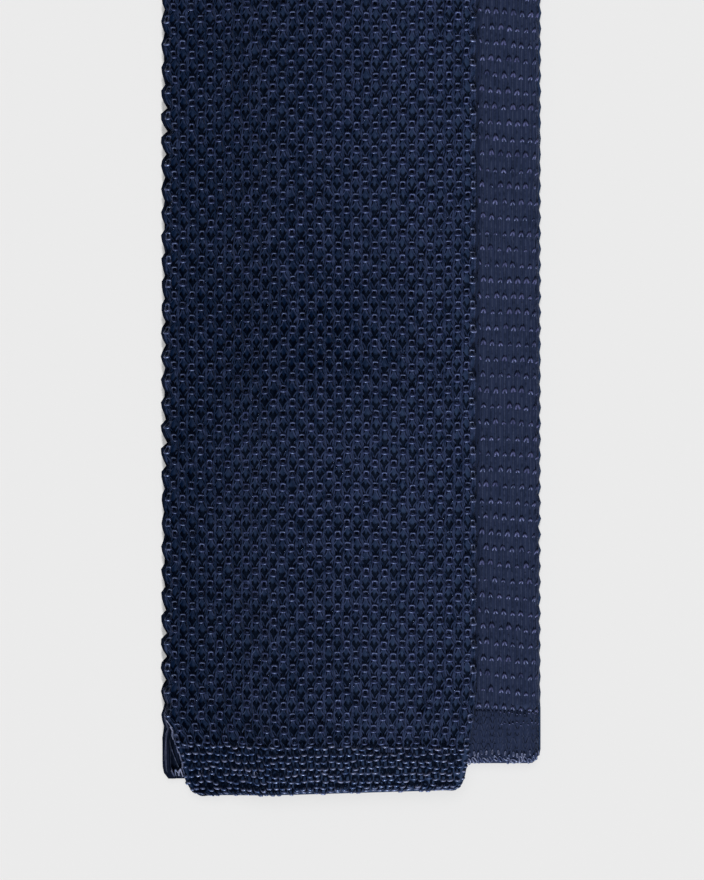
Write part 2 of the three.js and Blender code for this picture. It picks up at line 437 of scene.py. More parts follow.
def yarn_material(name, dark, light, roughness=0.3, gloss=1.0, sheen=0.03, hollow=(0.3, 1.1),
                  mottle=0.3, sideways=1.0, uneven=0.35):
    """hollow holds the height up to which the yarn's colour is painted dark as shade in the hollows,
    and the height from which it has its full colour. mottle, sideways and uneven say how much the
    spots, the painted light and shade across the tie, and the loops differ."""
    material, shader = start_material(name, {
        "Specular IOR Level": gloss, "Specular Tint": COOL, "Sheen Weight": sheen,
        "Sheen Roughness": 0.45, "Sheen Tint": (0.55, 0.65, 1.0, 1),
    })
    bench = Bench(material.node_tree)
    place = bench.add("ShaderNodeTexCoord", output="Object")
    broad = noise(bench, place, 38.0, 2.0)
    fibre = noise(bench, place, 2600.0, 3.0)
    spots = (noise(bench, place, 900.0, 2.0) - 0.5) * (5.0 * mottle)
    # sideways sets how much of the painted light and shade across the tie the yarn gets
    tone = painted_side_light(bench, place) * sideways + (1 - sideways) * 0.3
    tone = tone + broad * 0.4 + (attribute(bench, "shade") - 0.5) * uneven + fibre * 0.3 + spots - 0.32
    color = mix_color(bench, tone.math("MAXIMUM", 0.0), (*dark, 1), (*light, 1))
    # Painted shade: where the yarn lies low its colour is darkened, and only the highest yarn has its
    # full colour.
    lit = soft_step(bench, attribute(bench, "stands_out"), *hollow)
    color = mix_color(bench, lit, (*(v * PAINTED_HOLLOW_SHADE for v in dark), 1), color)
    bench.join(shader, "Base Color", color)
    bench.join(shader, "Roughness", lit * -0.25 + fibre * 0.2 + (roughness + 0.15))
    height = wave(bench, place, "DIAGONAL", 900.0, 6.0, 2.0) * 0.6 + fibre * 0.6
    bump = bench.add("ShaderNodeBump", {}, {"Strength": 0.35, "Distance": 0.00008, "Height": height})
    bench.join(shader, "Normal", bump)
    return material


print("the hollows keep", PAINTED_HOLLOW_SHADE, "of the dark colour")

# %% The yarns of the blade
FIGURED_YARN = yarn_material(
    "figured_yarn", (0.010, 0.015, 0.048), (0.040, 0.053, 0.140), 0.36, 0.52, hollow=(0.72, 1.5),
)
# Painted shade: the legs lie in the pits, so their copy of the yarn is made darker.
FIGURED_LEGS = yarn_material(
    "figured_leg_yarn", (0.0022, 0.008, 0.028), (0.024, 0.036, 0.087), 0.55, 0.25, 0.02,
    hollow=(0.3, 0.95), mottle=0.7,
)
COARSE_YARN = yarn_material(
    "coarse_figured_yarn", (0.005, 0.012, 0.045), (0.030, 0.044, 0.120), 0.5, 0.4, hollow=(0.4, 1.5),
)
# Painted highlight: the band's bars are a lighter copy of the yarn, brightest on their crests.
BAND_YARN = yarn_material(
    "band_yarn", (0.020, 0.042, 0.125), (0.152, 0.168, 0.276), gloss=0.9, hollow=(0.85, 1.6),
    mottle=0.6, sideways=0.2, uneven=0.6,
)
# Painted highlight: the inner strands are a lighter copy of the yarn.
INNER_YARN = yarn_material(
    "inner_yarn", (0.006, 0.010, 0.028), (0.120, 0.140, 0.250), hollow=(0.0, 0.45), mottle=0.5,
)
# Painted light: the rounded lip is a lighter, greyer copy of the yarn.
RIM_YARN = yarn_material(
    "rim_yarn", (0.020, 0.024, 0.050), (0.075, 0.082, 0.140), 0.45, 0.5, 0.05,
    hollow=(0.0, 0.45), sideways=0.0,
)
# Painted highlight: the steep cast-off loops and the selvedge are a much lighter copy of the yarn.
CORNER_YARN = yarn_material(
    "corner_yarn", (0.060, 0.075, 0.150), (0.380, 0.410, 0.580), hollow=(0.1, 0.5), mottle=0.5,
    sideways=0.0,
)
# Painted highlight: a lighter copy of the yarn for the side rings, which catch more light. The cast-off
# bars at the blade's end use it too.
SIDE_YARN = yarn_material(
    "side_yarn", (0.016, 0.025, 0.070), (0.100, 0.120, 0.240), hollow=(0.9, 1.6), mottle=0.4,
)
print("rings on the blade:", FIGURED_YARN.name, "and the coarse ones above:", COARSE_YARN.name)

# %% The yarns of the tail and the neckband
PLAIN_YARN = yarn_material(
    "plain_yarn", (0.009, 0.014, 0.036), (0.0258, 0.0348, 0.0755), 0.42, 0.4,
    hollow=(-1.0, 0.5), mottle=0.9,
)
# Painted highlight: the loops' heads are a lighter copy of the plain yarn.
HEAD_YARN = yarn_material(
    "plain_head_yarn", (0.012, 0.016, 0.052), (0.064, 0.070, 0.166), 0.42, 0.5,
    hollow=(-1.0, 0.5), mottle=0.5, uneven=0.9,
)
# Painted highlight: the tail's cast-off is a lighter copy of the yarn.
CAST_OFF_YARN = yarn_material(
    "cast_off_yarn", (0.045, 0.060, 0.145), (0.235, 0.262, 0.410), sheen=0.05,
    hollow=(0.7, 1.4), mottle=0.6, sideways=0.3, uneven=0.6,
)
print("loops on the tail:", HEAD_YARN.name, "and its end:", CAST_OFF_YARN.name)

# %% [markdown]
# Under the loops lies the ground of the knit. It is the same yarn, deep between the loops, so its
# colour is painted darker as shade, and it has no glints of its own. A fine rib along the tie is bumped
# into it. The blade's back shows only in the shade of the open corner, so its ground is painted darkest
# of all.

# %% Ground material
def ground_material(name, dark, light):
    values = {"Specular IOR Level": 0.08, "Specular Tint": COOL}
    material, shader = start_material(name, values)
    bench = Bench(material.node_tree)
    flat = bench.add("ShaderNodeUVMap", {"uv_map": "swatch"})
    ribs = wave(bench, flat, "X", 0.19, 1.5, 1.2)
    place = bench.add("ShaderNodeTexCoord", output="Object")
    fibre = noise(bench, place, 1900.0, 3.0)
    broad = noise(bench, place, 45.0, 2.0)
    # The ground gets the same painted light and shade across the tie.
    tone = painted_side_light(bench, place) + ribs * 0.4 + fibre * 0.35 + broad * 0.4 - 0.55
    color = mix_color(bench, tone.math("MAXIMUM", 0.0), (*dark, 1), (*light, 1))
    bench.join(shader, "Base Color", color)
    bench.join(shader, "Roughness", fibre * 0.2 + 0.62)
    height = ribs * 0.8 + fibre * 0.5
    bump = bench.add("ShaderNodeBump", {}, {"Strength": 0.5, "Distance": 0.00015, "Height": height})
    bench.join(shader, "Normal", bump)
    return material


# Painted shade: the grounds are darker copies of the yarn's colours.
FIGURED_GROUND = ground_material("figured_ground", (0.0006, 0.0055, 0.022), (0.026, 0.044, 0.096))
PLAIN_GROUND = ground_material("plain_ground", (0.009, 0.014, 0.036), (0.021, 0.030, 0.069))
SHADED_GROUND = ground_material("shaded_ground", (0.0003, 0.0014, 0.006), (0.014, 0.021, 0.050))
print("grounds:", FIGURED_GROUND.name, PLAIN_GROUND.name, SHADED_GROUND.name)

# %% [markdown]
# ## The ground cloth of each wall
# Each wall of the tube is a thin closed slab, made flat as a grid with an outer and an inner
# side and a rim all round. The grid is close at the sides, where it bends and scallops, and
# wide in the middle. Its flat place is kept as a UV map, so the rib follows the cloth.

# %% Slab maker
GROUND_OUT = 0.42  # the ground lies this far from the middle of the tube
SIDE_GROUND_OUT = 0.85  # and comes nearer to the crests where it turns round the sides
HEM_SIDE_OUT = 1.22  # most of all at the blade's band, so its sides look smooth
INNER_OUT = SLIT / 2
SIDE_REACH = 4.2  # the part of a wall that is made with close faces, next to each side


def across_steps(half_arc, middle_step):
    side = np.linspace(0, SIDE_REACH, 9)
    inner = half_arc - side[-1]
    count = max(2, round(2 * inner / middle_step))
    middle = np.linspace(-inner, inner, count + 1)
    return np.concatenate([-half_arc + side[:-1], middle, half_arc - side[:-1][::-1]])


def cloth_piece(name, places, faces, flat, material, smooth):
    """Keeps the flat place of each corner as a UV map."""
    mesh = bpy.data.meshes.new(name)
    mesh.from_pydata(places, [], faces)
    layer = mesh.uv_layers.new(name="swatch")
    corners = np.empty(len(mesh.loops), int)
    mesh.loops.foreach_get("vertex_index", corners)
    layer.data.foreach_set("uv", flat[corners, :2].ravel())
    mesh.materials.append(material)
    mesh.polygons.foreach_set("use_smooth", smooth)
    piece = bpy.data.objects.new(name, mesh)
    bpy.context.scene.collection.objects.link(piece)
    print(name, len(mesh.polygons), "faces")
    return piece


def slab(name, columns, rows, narrow, lay, material, outer, side_out):
    """columns is a row of places across at full width, and narrow(along) its share at a row."""
    a, r = len(columns), len(rows)
    across = columns[None, :] * narrow(rows)[:, None]
    along = np.repeat(rows[:, None], a, axis=1)
    at_side = ease((np.abs(across) - narrow(rows)[:, None] * columns[-1] + SIDE_REACH) / 2.2)
    outside = outer + max(0, side_out - outer) * at_side
    inside = np.full_like(across, INNER_OUT)
    flat = np.concatenate([
        np.stack([across, along, level], axis=-1).reshape(-1, 3) for level in (outside, inside)
    ])
    i, j = np.meshgrid(np.arange(a - 1), np.arange(r - 1))
    low = (j * a + i).ravel()
    top = np.column_stack([low, low + 1, low + a + 1, low + a])
    under = (top + a * r)[:, ::-1]
    rim = np.concatenate([
        np.arange(a), np.arange(1, r) * a + a - 1, (r - 1) * a + np.arange(a - 1)[::-1],
        np.arange(1, r - 1)[::-1] * a,
    ])
    ahead = np.roll(rim, -1)
    wall = np.column_stack([rim + a * r, ahead + a * r, ahead, rim])
    faces = np.concatenate([top, under, wall])
    smooth = [True] * (len(top) + len(under)) + [False] * len(wall)
    return cloth_piece(name, lay(flat), faces.tolist(), flat, material, smooth)


print("a wall reaches", round(QUARTER, 2), "mm further than half the width, round the side")

# %% Rows and narrowing of the walls
def along_rows(start, stop, fine=0.85, coarse=3.4):
    near_stop = min(NEAR, stop)
    near = np.linspace(start, near_stop, max(2, round((near_stop - start) / fine)) + 1)
    if stop <= NEAR:
        return near
    far = np.linspace(near_stop, stop, round((stop - near_stop) / coarse) + 1)
    return np.concatenate([near, far[1:]])


def blade_share(along):
    return (blade_half(BLADE_END_Y + along) + QUARTER) / (BLADE_WIDTH / 2 + QUARTER)


def tail_share(along):
    return (tail_half(TAIL_END_Y + along) + QUARTER) / (TAIL_WIDTH / 2 + QUARTER)


print("at the neckband the blade has", round(float(blade_share(NECK_FROM)), 2), "of its width")

# %% How each wall is laid
def face_lay(points):
    return lay_blade(points, BLADE_FACE_END, 0, 1, END_SLANT, 2 * PATTERN_ROW, FIGURE_SCALLOP)


def back_lay(points):
    return lay_blade(points, BLADE_BACK_END, BACK_SHORT, -1, 0, 2 * PATTERN_ROW, FIGURE_SCALLOP)


def strip_lay(points):
    return lay_tail(points, 0, 1, PLAIN_ROW, PLAIN_SCALLOP)


def under_lay(points):
    return lay_tail(points, FACE_SHORT, -1, PLAIN_ROW, PLAIN_SCALLOP)


def rim_lay(points):
    """Lays yarn on the left lip of the back wall: across runs inwards from the side."""
    across, along, up = points.T
    whole = blade_half(BLADE_END_Y + along) + QUARTER
    placed = back_lay(np.column_stack([-whole, along, HALF_THICK + across]))
    placed[:, 2] += up * MM
    return placed


def inner_back_lay(points):
    """Lays yarn on the inner side of the back wall, which shows where the front is drawn in."""
    across, along, up = points.T
    return back_lay(np.column_stack([across, along, INNER_OUT - up]))


def mirrored(lay):
    """Swaps left and right of a swatch, so that a wall that looks down keeps its faces outward."""
    return lambda points: lay(points * np.array([-1, 1, 1]))


print("the inner side of a wall lies", INNER_OUT, "mm from the middle of its tube")

# %% Make the slabs
PLAIN_LEVEL = 1.15  # the plain side is smoother, so its ground lies higher
halves = {
    "blade": (BLADE_WIDTH, across_steps(BLADE_WIDTH / 2 + QUARTER, 3.8), blade_share),
    "tail": (TAIL_WIDTH, across_steps(TAIL_WIDTH / 2 + QUARTER, 3.8), tail_share),
}
blade_top, tail_top = NECK_FROM, NECK_FROM - TAIL_SHORT
panels = {
    # name: half, first row, last row, row step, laying, material, outer level
    "blade_front": ("blade", HEM, blade_top, 0.85, face_lay, FIGURED_GROUND, GROUND_OUT),
    "blade_hem": ("blade", 0, HEM, 0.6, face_lay, FIGURED_GROUND, GROUND_OUT),
    "blade_back": ("blade", BACK_SHORT, blade_top, 1.1, mirrored(back_lay), SHADED_GROUND, HALF_THICK),
    "tail_back": ("tail", HEM, tail_top, 1.1, strip_lay, PLAIN_GROUND, PLAIN_LEVEL),
    "tail_back_hem": ("tail", 0, HEM, 0.8, strip_lay, PLAIN_GROUND, PLAIN_LEVEL),
    "tail_front": ("tail", HEM, tail_top, 1.5, mirrored(under_lay), FIGURED_GROUND, HALF_THICK),
    "tail_hem": ("tail", FACE_SHORT, HEM, 1.0, mirrored(under_lay), FIGURED_GROUND, HALF_THICK),
}
cloths = {}
for node, (half, first, last, step, lay, material, level) in panels.items():
    width, columns, narrow = halves[half]
    side_out = HEM_SIDE_OUT if node == "blade_hem" else SIDE_GROUND_OUT
    rows = along_rows(first, last, step)
    cloths[node] = slab(node + "_cloth", columns, rows, narrow, lay, material, level, side_out)

# %% [markdown]
# The neckband is one narrow tube, so its slab is closed round: an outer and an inner skin,
# joined at both ends. Its rows are closest where it climbs and turns round the fold.

# %% The neckband's tube
def neck_tube(name, material):
    half_arc = NECK_WIDTH / 2 + QUARTER
    upper = across_steps(half_arc, 4.0)
    turns = [(p, 1) for p in upper] + [(p, -1) for p in upper[::-1][1:-1]]
    rows = np.concatenate([
        np.linspace(0, 165, 34), np.linspace(165, 205, 48)[1:],
        np.linspace(205, NECK_LENGTH, 40)[1:],
    ])
    points = np.array([
        (p, along, level, side) for level in (1.2, INNER_OUT) for along in rows for p, side in turns
    ])
    flat = points[:, :3].copy()
    under = points[:, 3] < 0
    laid = lay_neck(flat)
    y, z = (np.interp(flat[:, 1], NECK_ALONG, NECK_LINE[:, i]) for i in range(2))
    middle = np.column_stack([laid[:, 0], y * MM, z * MM])
    laid[under] = (2 * middle - laid)[under]
    a, r = len(turns), len(rows)
    faces = []
    for j in range(r - 1):
        for i in range(a):
            k, n = j * a + i, j * a + (i + 1) % a
            faces.append((k, n, n + a, k + a))
            faces.append((k + a * r, k + a + a * r, n + a + a * r, n + a * r))
    for i in range(a):
        n = (i + 1) % a
        faces.append((i, i + a * r, n + a * r, n))
        k, n = (r - 1) * a + i, (r - 1) * a + n
        faces.append((k, n, n + a * r, k + a * r))
    return cloth_piece(name, laid, faces, flat, material, [True] * len(faces))


cloths["neckband"] = neck_tube("neckband_cloth", PLAIN_GROUND)

# %% [markdown]
# ## Loops of yarn, with Geometry Nodes
# A knitted face is one stitch repeated in rows. Each stitch is a tube of yarn along a curve.
# The figure is a chequer of two cells: an oval ring that stands up, and below it a pair of
# legs with a dark slot between them. The next row is the same, moved sideways by one column.

# %% Yarn along a curve
def yarn(bench, path, radius, sides, closed_ends=True):
    sizes = {"Resolution": sides, "Radius": radius}
    profile = bench.add("GeometryNodeCurvePrimitiveCircle", {}, sizes)
    inputs = {"Curve": path, "Profile Curve": profile, "Fill Caps": closed_ends}
    return bench.add("GeometryNodeCurveToMesh", {}, inputs)


def vector(bench, x, y, z):
    return bench.add("ShaderNodeCombineXYZ", {}, {"X": x, "Y": y, "Z": z})


def moved(bench, geometry, place):
    return bench.add("GeometryNodeSetPosition", {}, {"Geometry": geometry, "Position": place})


def turned(bench, geometry, angle):
    inputs = {"Geometry": geometry, "Rotation": (0, 0, angle)}
    return bench.add("GeometryNodeTransform", {}, inputs)


def line_of(bench, start, end, points):
    line = bench.add("GeometryNodeCurvePrimitiveLine", {}, {"Start": start, "End": end})
    return bench.add("GeometryNodeResampleCurve", {}, {"Curve": line, "Count": points})


def ring_path(bench, half_wide, half_high, side_out, bar_out, steps, square=0.6, lean=0.0):
    """An oval of yarn whose top and bottom stand highest, as two level bars. A low square
    gives it corners, and lean lifts the lower bar over the upper one."""
    sizes = {"Resolution": steps, "Radius": 1.0}
    circle = bench.add("GeometryNodeCurvePrimitiveCircle", {}, sizes)
    circle = turned(bench, circle, math.pi / steps)
    x, y, _ = parts_of(bench, bench.add("GeometryNodeInputPosition"))
    wide = x.math("SIGN") * (x.math("ABSOLUTE") ** square) * half_wide
    high = y.math("SIGN") * (y.math("ABSOLUTE") ** square) * half_high
    out = soft_step(bench, y.math("ABSOLUTE"), 0.2, 0.72, side_out, bar_out)
    return moved(bench, circle, vector(bench, wide, high, out - high * (lean / half_high)))


def arch_path(bench, half_wide, length, head_out, foot_out, steps, spread=2.2, drop=1.7, dive=1.6):
    """A loop with its head at the origin and two legs that run down from it. A high drop and
    dive give a level bar with steep legs, and low ones a pointed loop."""
    line = line_of(bench, (-1, 0, 0), (1, 0, 0), steps)
    x, _, _ = parts_of(bench, bench.add("GeometryNodeInputPosition"))
    t = x.math("ABSOLUTE")
    wide = x.math("SIGN") * (1 - (1 - t) ** spread) * half_wide
    down = (t ** drop) * length
    out = (t ** dive) * (foot_out - head_out) + head_out
    return moved(bench, line, vector(bench, wide, down * -1, out))


def strand(bench, start, end, radius, sides, points=3):
    return yarn(bench, line_of(bench, start, end, points), radius, sides, closed_ends=False)


def together(bench, *parts):
    return bench.add("GeometryNodeJoinGeometry", {}, {"Geometry": list(parts)})


print("yarn paths ready")

# %% [markdown]
# The tree below puts one stitch on each point of a grid. The points outside the cloth's
# sides are deleted with the same narrowing as the cloth has, so the columns keep their
# width and end at the side, as they do in real knitting. Named inputs carry the sizes, and
# the seed is fixed, so each run gives the same tie.

# %% The tree that knits a swatch
FIELD_INPUTS = {
    "Columns": 10, "Rows": 10, "Column Step": 3.4, "Row Step": 2.3,
    "First Column": 0.0, "First Row": 0.0, "Stagger": 0.0, "Row Slope": 0.0,
    "Keep From": -100.0, "Keep To": 100.0, "Full Half": 30.0, "Narrow Half": 15.0,
    "Taper From": 170.0, "Taper To": 528.0, "Turn": 0.1, "Seed": 1,
}


def swatch_tree(name, make_stitch, material):
    tree = bpy.data.node_groups.new(name, "GeometryNodeTree")
    tree.interface.new_socket("Geometry", in_out="OUTPUT", socket_type="NodeSocketGeometry")
    for label, value in FIELD_INPUTS.items():
        kind = "NodeSocketInt" if isinstance(value, int) else "NodeSocketFloat"
        socket = tree.interface.new_socket(label, in_out="INPUT", socket_type=kind)
        socket.default_value = value
    bench = Bench(tree)
    given = bench.node("NodeGroupInput")
    ask = {label: Wire(bench, given.outputs[label]) for label in FIELD_INPUTS}

    wide = (ask["Columns"] - 1) * ask["Column Step"]
    high = (ask["Rows"] - 1) * ask["Row Step"]
    grid = bench.add("GeometryNodeMeshGrid", {}, {
        "Size X": wide, "Size Y": high, "Vertices X": ask["Columns"], "Vertices Y": ask["Rows"],
    })
    x, y, _ = parts_of(bench, bench.add("GeometryNodeInputPosition"))
    row = ((y + high * 0.5) / ask["Row Step"]).math("ROUND")
    odd = (row * 0.5).math("FRACT") * 2
    across = x + odd * ask["Stagger"] + ask["First Column"]
    along = row * ask["Row Step"] + ask["First Row"] + across * ask["Row Slope"]
    grid = moved(bench, grid, vector(bench, across, along, 0.0))

    x, y, _ = parts_of(bench, bench.add("GeometryNodeInputPosition"))
    taper = [ask[label] for label in ("Taper From", "Taper To", "Full Half", "Narrow Half")]
    outside = x.math("ABSOLUTE").math("GREATER_THAN", soft_step(bench, y, *taper))
    left_out = x.math("LESS_THAN", ask["Keep From"]) + x.math("GREATER_THAN", ask["Keep To"])
    kept = bench.add(
        "GeometryNodeDeleteGeometry", {"domain": "POINT"},
        {"Geometry": grid, "Selection": outside + left_out},
    )

    def chance(low, high, step):
        low, high = (v if isinstance(v, tuple) else (v,) * 3 for v in (low, high))
        return bench.add(
            "FunctionNodeRandomValue", {"data_type": "FLOAT_VECTOR"},
            {"Min": low, "Max": high, "Seed": ask["Seed"] + step}, "Value",
        )

    shake = bench.add("ShaderNodeVectorMath", {"operation": "SCALE"}, {
        0: chance((-1.4, -0.6, -1), (1.4, 0.6, 1), 1), "Scale": ask["Turn"],
    })
    stitches = bench.add("GeometryNodeInstanceOnPoints", {}, {
        "Points": kept, "Instance": make_stitch(bench), "Rotation": shake,
        "Scale": chance((0.92, 0.9, 0.94), (1.08, 1.08, 1.05), 2),
    })
    shade = bench.add(
        "FunctionNodeRandomValue", {"data_type": "FLOAT"},
        {"Min": 0.0, "Max": 1.0, "Seed": ask["Seed"] + 3}, "Value",
    )
    stitches = bench.add(
        "GeometryNodeStoreNamedAttribute", {"data_type": "FLOAT", "domain": "INSTANCE"},
        {"Geometry": stitches, "Name": "shade", "Value": shade},
    )
    real = bench.add("GeometryNodeRealizeInstances", {}, {"Geometry": stitches})
    smooth = bench.add("GeometryNodeSetShadeSmooth", {}, {0: real})
    done = bench.add("GeometryNodeSetMaterial", {}, {"Geometry": smooth, "Material": material})
    bench.node("NodeGroupOutput", {}, {"Geometry": done})
    return tree


def knit(name, tree, lay, **sizes):
    """Runs a tree with these sizes, keeps its mesh, and lays it on the tie."""
    empty = bpy.data.meshes.new(name)
    host = bpy.data.objects.new(name, empty)
    bpy.context.scene.collection.objects.link(host)
    modifier = host.modifiers.new("knit", "NODES")
    modifier.node_group = tree
    for item in tree.interface.items_tree:
        label = item.name.lower().replace(" ", "_")
        if item.in_out == "INPUT" and label in sizes:
            modifier[item.identifier] = sizes.pop(label)
    if sizes:
        raise ValueError(f"{name}: no input is called {sorted(sizes)}")
    graph = bpy.context.evaluated_depsgraph_get()
    mesh = bpy.data.meshes.new_from_object(host.evaluated_get(graph))
    host.modifiers.remove(modifier)
    host.data = mesh
    mesh.name = name
    places = np.empty(len(mesh.vertices) * 3)
    mesh.vertices.foreach_get("co", places)
    places = places.reshape(-1, 3)
    # The height of each point out of the cloth is kept, so that shade can be painted into the hollows
    # by it.
    depth = mesh.attributes.new("stands_out", "FLOAT", "POINT")
    depth.data.foreach_set("value", places[:, 2].astype(np.float32))
    mesh.vertices.foreach_set("co", lay(places).ravel())
    mesh.update()
    faces = sum(len(p.vertices) - 2 for p in mesh.polygons)
    print(name, faces, "triangles")
    return host


print("the field takes", ", ".join(FIELD_INPUTS))

# %% [markdown]
# ## The figured face
# One stitch of the face is a ring and the pair of legs under it. Near the ends, where the
# tie is seen closest, the yarn has more facets than further up.

# %% Figured stitch
COLUMN = 1.735  # width of one column of stitches
RING_YARN = 0.23  # radius of the yarn of the rings
LEG_OUT = 0.88  # the legs lie this far from the middle of the tube


def ring(bench, steps, sides):
    path = ring_path(bench, 0.45, 0.66, 1.1, 1.34, steps, square=0.36, lean=0.19)
    return yarn(bench, path, RING_YARN, sides, closed_ends=False)


def leg(bench, side, start, parting, bulge, out, radius, points, sides):
    """A strand from under one ring to under the next. The strands of the two sides part in the
    middle, sharply with a high bulge, and leave a dark pit between them."""
    line = line_of(bench, (-1, 0, 0), (1, 0, 0), points)
    u, _, _ = parts_of(bench, bench.add("GeometryNodeInputPosition"))
    closer = (u.math("ABSOLUTE") ** 1.5) * u.math("SIGN")
    apart = ((closer * math.pi).math("COSINE") * 0.5 + 0.5) ** bulge
    wide, down = (apart * parting + start) * side, (closer + 1) * -PATTERN_ROW
    place = vector(bench, wide, down, apart * 0.05 + out)
    return yarn(bench, moved(bench, line, place), radius, sides, closed_ends=False)


def fine_ring(bench):
    return ring(bench, 12, 5)


def fine_legs(bench):
    strands = [leg(bench, 1, 0.86, 0.0, 1.0, LEG_OUT - 0.12, 0.34, 3, 3)]
    for side in (-1, 1):
        strands.append(leg(bench, side, 0.14, 0.76, 3.2, LEG_OUT + 0.04 * side, 0.25, 9, 3))
        strands.append(leg(bench, side, 0.52, 0.42, 1.2, LEG_OUT - 0.02 * side, 0.29, 5, 3))
    return together(bench, *strands)


def coarse_stitch(bench):
    legs = [leg(bench, side, 0.2, 0.56, 1.0, 0.74, 0.46, 3, 3) for side in (-1, 1)]
    return together(bench, ring(bench, 6, 4), *legs)


ring_tree = swatch_tree("figure rings", fine_ring, FIGURED_YARN)
leg_tree = swatch_tree("figure legs", fine_legs, FIGURED_LEGS)
coarse_tree = swatch_tree("coarse figure", coarse_stitch, COARSE_YARN)
near_rows = 1 + int((NEAR - FIRST_RING) / PATTERN_ROW)
far_rows = 1 + int((NECK_FROM - 2 - FIRST_RING) / PATTERN_ROW) - near_rows
face_sizes = dict(
    columns=21, column_step=2 * COLUMN, row_step=PATTERN_ROW, stagger=COLUMN,
    full_half=BLADE_WIDTH / 2 + 0.45, narrow_half=NECK_WIDTH / 2 + 0.3,
    taper_from=TAPER_FROM, taper_to=NECK_FROM,
)
near_rings = knit(
    "blade_front_rings", ring_tree, face_lay, rows=near_rows, first_row=FIRST_RING,
    first_column=-COLUMN, seed=11, turn=0.1, **{**face_sizes, "full_half": BLADE_WIDTH / 2 - 1},
)
near_legs = knit(
    "blade_front_legs", leg_tree, face_lay, rows=near_rows - 1, first_row=FIRST_RING + PATTERN_ROW,
    seed=15, turn=0.05, **face_sizes,
)
far_figure = knit(
    "blade_front_upper_loops", coarse_tree, face_lay, rows=far_rows,
    first_row=FIRST_RING + near_rows * PATTERN_ROW, first_column=-COLUMN * ((near_rows + 1) % 2),
    seed=12, turn=0.04, **face_sizes,
)

# %% [markdown]
# ## The band at the blade's end
# Below the figure the knit changes to close rows of level bars, each second row a little to
# the side. A last row of darker bars is cast off over the end, which is finely jagged.

# %% Hem bars
def level_bar(bench):
    path = arch_path(bench, 0.5, 0.5, 1.38, 0.5, 9, spread=1.5, drop=4.5, dive=4.5)
    flipped = bench.add("GeometryNodeTransform", {}, {"Geometry": path, "Scale": (1, -1, 1)})
    return yarn(bench, flipped, 0.24, 5)


HEM_BAR, HEM_ROW = 1.5, 1.385
bar_tree = swatch_tree("band bars", level_bar, BAND_YARN)
hem_bars = knit(
    "blade_hem_bars", bar_tree, face_lay, columns=42, rows=7, column_step=HEM_BAR,
    row_step=HEM_ROW, stagger=0.4, first_row=1.14, full_half=30.6, turn=0.2, seed=21,
)
end_tree = swatch_tree("cast-off bars", level_bar, SIDE_YARN)
hem_end = knit(
    "blade_hem_end", end_tree, face_lay, columns=42, rows=1, column_step=HEM_BAR, row_step=1.0,
    first_row=0.36, full_half=30.2, turn=0.16, seed=22,
)

# %% [markdown]
# Where the front is drawn in, the inner side of the back wall shows in the corner: long
# strands with dark gaps between them, and steep cast-off loops along its end. A selvedge
# yarn runs down the left side of the front.

# %% The open corner
def slanted_loop(tilt, half_long, half_thin, radius, side_out, bar_out):
    def make(bench):
        path = ring_path(bench, half_long, half_thin, bar_out, side_out, 10)
        return yarn(bench, turned(bench, path, tilt), radius, 5, closed_ends=False)
    return make


def long_strand(lean, radius):
    def make(bench):
        path = bench.add("GeometryNodeCurveQuadraticBezier", {}, {
            "Resolution": 6, "Start": (-lean, 3.2, -0.15), "Middle": (0.0, 0.0, 0.6),
            "End": (lean, -3.2, -0.15),
        })
        return yarn(bench, path, radius, 5)
    return make


def steep_loop(bench):
    return yarn(bench, arch_path(bench, 0.42, 1.5, 0.45, 0.3, 8, spread=1.2, drop=1.1), 0.17, 5)


def selvedge(bench):
    return strand(bench, (-0.12, 0.75, 1.3), (0.12, -0.75, 1.36), 0.15, 5)


strand_tree = swatch_tree("inner strands", long_strand(1.1, 0.13), INNER_YARN)
rim_tree = swatch_tree("rim strands", long_strand(0.1, 0.2), RIM_YARN)
steep_tree = swatch_tree("steep cast-off", steep_loop, CORNER_YARN)
selvedge_tree = swatch_tree("selvedge", selvedge, CORNER_YARN)
corner_strands = knit(
    "blade_back_inner_strands", strand_tree, inner_back_lay, columns=40, rows=3, column_step=1.5,
    row_step=5.4, stagger=0.7, first_row=7.6, keep_to=-20.0, full_half=29.3, turn=0.08, seed=51,
)
rim_strands = knit(
    "blade_back_rim_strands", rim_tree, rim_lay, columns=1, rows=6, column_step=0.42,
    row_step=2.9, stagger=0.06, first_row=6.9, first_column=-0.72, full_half=5.0, turn=0.04, seed=54,
)
corner_loops = knit(
    "blade_back_end_loops", steep_tree, inner_back_lay, columns=65, rows=1, column_step=0.95,
    row_step=1.0, first_row=BACK_SHORT + 2.0, keep_to=-12.0, full_half=30.6, turn=0.35, seed=52,
)
selvedges = knit(
    "blade_front_selvedge", selvedge_tree, face_lay, columns=2, rows=9, column_step=59.7,
    row_step=1.15, first_row=4.4, keep_to=0.0, full_half=31.0, turn=0.1, seed=53,
)

# %% [markdown]
# ## The plain back of the narrow half
# The tail shows its back: staggered rows of small pointed loops on a smooth ground, whose
# long upright strands hardly stand out. Only the strip beside the blade is seen, so only
# that strip is knitted.

# %% Plain loops
def pointed_loop(bench):
    path = arch_path(bench, 0.36, 0.8, 1.29, 0.95, 8, spread=1.4, drop=1.3)
    return yarn(bench, path, 0.24, 5)


def plain_strand(bench):
    return strand(bench, (0, -6.6, 1.06), (0, 6.6, 1.06), 0.26, 5, points=7)


